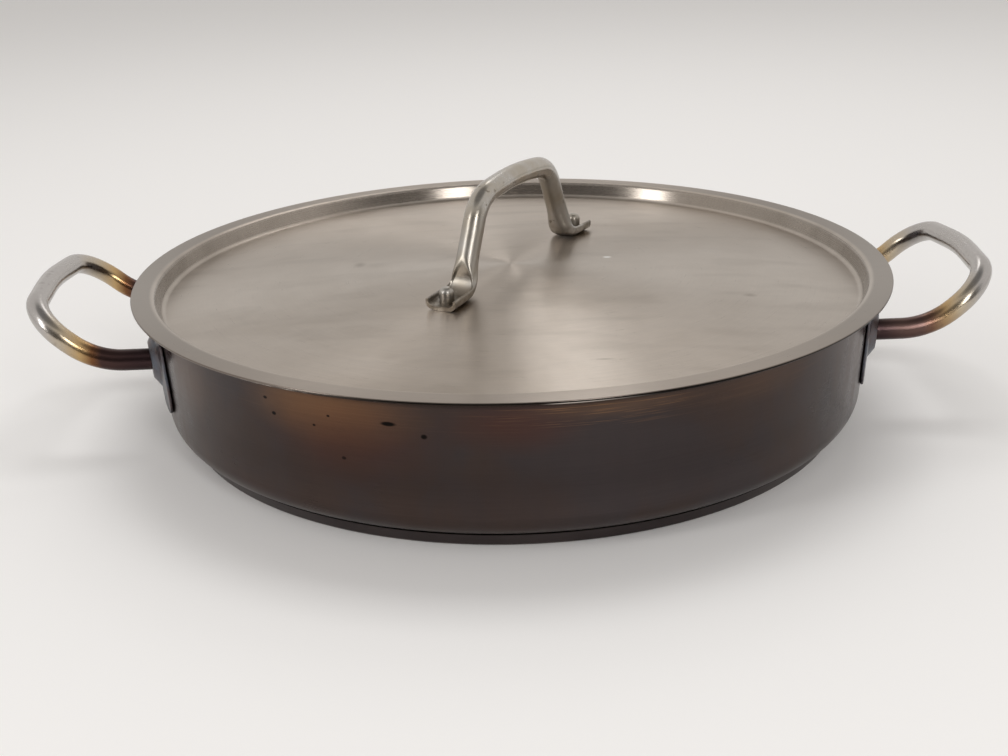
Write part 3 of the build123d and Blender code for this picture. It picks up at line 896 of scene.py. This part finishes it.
def makeLidHandle(material):
    point, run, normal = footFrame()
    radius = grip["tube"] / 2
    axisPoint = point + normal * (radius + grip["seat"])
    heel = axisPoint + run * (grip["heelHalf"] - grip["rivetReach"])
    tip = axisPoint + run * (grip["tip"] - grip["rivetReach"])
    level = panelTop(grip["heelHalf"])
    shoulder = Vector((grip["shoulderHalf"], level + grip["height"]))
    top = Vector((0, level + grip["height"] + grip["crown"]))
    leg = (heel - shoulder).normalized()
    press = heel - leg * grip["pressStart"]
    mesh = bmesh.new()
    bmesh.ops.create_circle(mesh, cap_ends=False, segments=grip["around"], radius=radius * mm)
    verts, edges = list(mesh.verts), list(mesh.edges)
    angles = [math.atan2(vert.co.y, vert.co.x) for vert in verts]
    placeRing(verts, angles, press, leg, 0)
    # from the start of the pressing up to the middle of the grip, and down to the tip
    corners = [press, shoulder, top, Vector((-shoulder.x, shoulder.y))]
    climb = halfWay(pathMoves(corners, [grip["shoulderBend"], grip["crownBend"]]))
    followPath(mesh, edges, climb, Vector((0, 0, 0)), Vector((1, 0, 0)), upAxis)
    pressFoot(mesh, verts, edges, angles, footStations(press, heel, tip, leg))
    bmesh.ops.triangulate(mesh, faces=[face for face in mesh.faces if len(face.verts) > 4])
    mirrorHalf(mesh, "X", 1e-7)
    onLid(mesh, Matrix())
    finishPiece("lidHandle", mesh, "lid", material, "lid_handle", 50)


def makeHandleSteel():
    material, surface, place = newMaterial("handleSteel", {"Metallic": 1.0})
    x, y, z = place.parts()
    cloud = place.noise(*grip["cloud"])
    scratch = place.vector(x, y, z * 0.25).noise(*grip["scratch"])
    nicks = place.noise(*grip["nicks"]).smooth(0.66, 0.74)
    colour = cloud.smooth(0.35, 0.65).over(grip["warm"], grip["steel"])
    low = (z / mm).smooth(*grip["dirtBelow"]) * place.noise(*grip["dirt"]).smooth(0.32, 0.60)
    colour = (low * 0.72).over(colour, grip["grime"])
    colour = (nicks * 0.7).over(colour, grip["grime"])
    topNick = place.spot(*grip["topNick"]) * scratch.smooth(0.4, 0.6)
    colour = topNick.over(colour, grip["grime"]).dim(0.93 + 0.14 * scratch)
    roughness = varied(grip["roughness"], (cloud, 0.16), (scratch, 0.12)) + 0.15 * low
    # the legs are duller than the grip, and darkened as painted shade that tones down the lamps'
    # highlights on them
    legs = (z / mm).smooth(*grip["dullAndShadedBelow"])
    colour = colour.dim(1.0 - 0.1 * legs)
    wireUp(surface, colour, roughness + 0.11 * legs, scratch - nicks, grip["relief"])
    return material


handleSteel = makeHandleSteel()
makeLidHandle(handleSteel)


# The rivets in the handle's feet
rivet = {
    "head": 7.2, "headHeight": 7.8, "crown": 2.8, "shank": 4.0, "tail": 6.6, "tailHeight": 1.8,
    "tailBend": 0.9, "floor": 2.3, "sunk": 0.4, "under": -1.15, "around": 40,
}


def makeRivets(material):
    point, _, normal = footFrame()
    seat = Matrix.Translation((point.x * mm, 0, point.y * mm))
    seat = seat @ Matrix.Rotation(math.atan2(normal.x, normal.y), 4, "Y")
    head, shank, tail = (rivet[part] / 2 for part in ("head", "shank", "tail"))
    top, low = rivet["floor"] + rivet["headHeight"], rivet["floor"] - rivet["sunk"]
    under, end = rivet["under"], rivet["under"] - rivet["tailHeight"]
    corners = [
        (0, top), (head, top), (head, low), (shank, low),
        (shank, under), (tail, under), (tail, end), (0, end),
    ]
    mesh = bmesh.new()
    for heading in (0, math.pi):
        part = bmesh.new()
        bendProfile(part, corners, {1: rivet["crown"], 6: rivet["tailHeight"] * rivet["tailBend"]})
        turnProfile(part, rivet["around"])
        onLid(part, seat, heading)
        bmesh.ops.recalc_face_normals(part, faces=part.faces)
        held = meshData("rivetHeld", part)
        mesh.from_mesh(held)
        bpy.data.meshes.remove(held)
    finishPiece("lidRivets", mesh, "lid", material, "lid_rivets", 50)


makeRivets(handleSteel)
print("lid handle and rivets made")


# Floor, light and camera
stage = {
    "floorSize": 30.0, "floorColour": (0.88, 0.865, 0.85), "floorRoughness": 0.8,
    "floorShine": 0.06, "shineColour": (1.0, 0.98, 0.96),
    "roomLight": (0.72, 0.70, 0.68), "cameraSide": (0.10, 0.096, 0.093),
    "overhead": (0.22, 0.215, 0.21), "backWall": (0.75, 0.73, 0.705),
    "background": (0.86, 0.855, 0.85),
}


def makeFloor():
    mesh = bmesh.new()
    bmesh.ops.create_grid(mesh, x_segments=1, y_segments=1, size=stage["floorSize"] / 2)
    data = meshData("floor", mesh)
    floor = addObject("floor", data)
    material, surface, place = newMaterial("floorPaint", {
        "Base Color": (*stage["floorColour"], 1), "Roughness": stage["floorRoughness"],
        "Emission Color": (*stage["shineColour"], 1),
    })
    # a faint glow that only the camera sees
    seen = place.node("ShaderNodeLightPath", output="Is Camera Ray") * stage["floorShine"]
    material.node_tree.links.new(seen.socket, surface.inputs["Emission Strength"])
    data.materials.append(material)


def makeRoom():
    # light all round, darker overhead and on the camera's side, so that polished tubes show a form
    world = bpy.data.worlds.new("room")
    bpy.context.scene.world = world
    world.use_nodes = True
    tree = world.node_tree
    _, y, z = Shade(tree).node("ShaderNodeTexCoord", output="Generated").parts()
    front = y.smooth(-0.2, -0.75) * z.smooth(0.9, 0.5)
    colour = front.over(stage["roomLight"], stage["cameraSide"])
    colour = z.smooth(0.80, 0.94).over(colour, stage["overhead"])
    colour = (y.smooth(0.4, 0.8) * z.smooth(0.40, 0.28)).over(colour, stage["backWall"])
    seen = Shade(tree).node("ShaderNodeLightPath", output="Is Camera Ray")
    colour = seen.over(colour, stage["background"])
    tree.links.new(colour.socket, tree.nodes["Background"].inputs[0])


def softLamp(name, place, aim, size, power, mirrored=True):
    data = bpy.data.lights.new(name, "AREA")
    data.shape = "RECTANGLE"
    data.size, data.size_y = size
    data.energy = power
    lamp = addObject(name, data)
    lamp.location = place
    lamp.rotation_euler = (Vector(aim) - Vector(place)).to_track_quat("-Z", "Y").to_euler()
    lamp.visible_glossy = mirrored


makeFloor()
makeRoom()
softLamp("ceiling", (0.15, 0.5, 1.8), (0, 0, 0), (1.0, 0.7), 9, mirrored=False)
softLamp("highWindow", (0.22, 1.14, 1.30), (0, 0, 0), (0.30, 0.4), 0.78)
softLamp("rightWindow", (0.50, -1.46, 0.72), (0, 0, 0.05), (0.34, 0.8), 7)
softLamp("leftWindow", (-1.33, -0.77, 0.72), (0, 0, 0.05), (0.3, 0.8), 5)

# place in mm, angles in degrees, focal length in pixels of the image's width
view = {
    "place": (-23.9, -648.7, 264.9), "yaw": 1.66, "pitch": 21.5, "roll": -1.76, "focal": 1300.0,
    "imageWidth": 1008, "sensor": 36.0, "nearest": 0.01,
}


def setCamera():
    yaw, pitch, roll = (math.radians(view[key]) for key in ("yaw", "pitch", "roll"))
    level = Vector((math.cos(yaw), -math.sin(yaw), 0))
    ahead = Vector((
        math.sin(yaw) * math.cos(pitch), math.cos(yaw) * math.cos(pitch), -math.sin(pitch),
    ))
    upright = level.cross(ahead)
    right = level * math.cos(roll) + upright * math.sin(roll)
    above = upright * math.cos(roll) - level * math.sin(roll)
    data = bpy.data.cameras.new("photoView")
    data.sensor_width = view["sensor"]
    data.lens = view["focal"] * view["sensor"] / view["imageWidth"]
    data.clip_start = view["nearest"]
    camera = addObject("photoView", data)
    turned = Matrix((right, above, -ahead)).transposed().to_4x4()
    camera.matrix_world = Matrix.Translation(Vector(view["place"]) * mm) @ turned
    bpy.context.scene.camera = camera


setCamera()
bpy.context.scene.view_settings.view_transform = "Standard"
print("floor, light and camera set")

bpy.context.view_layer.update()
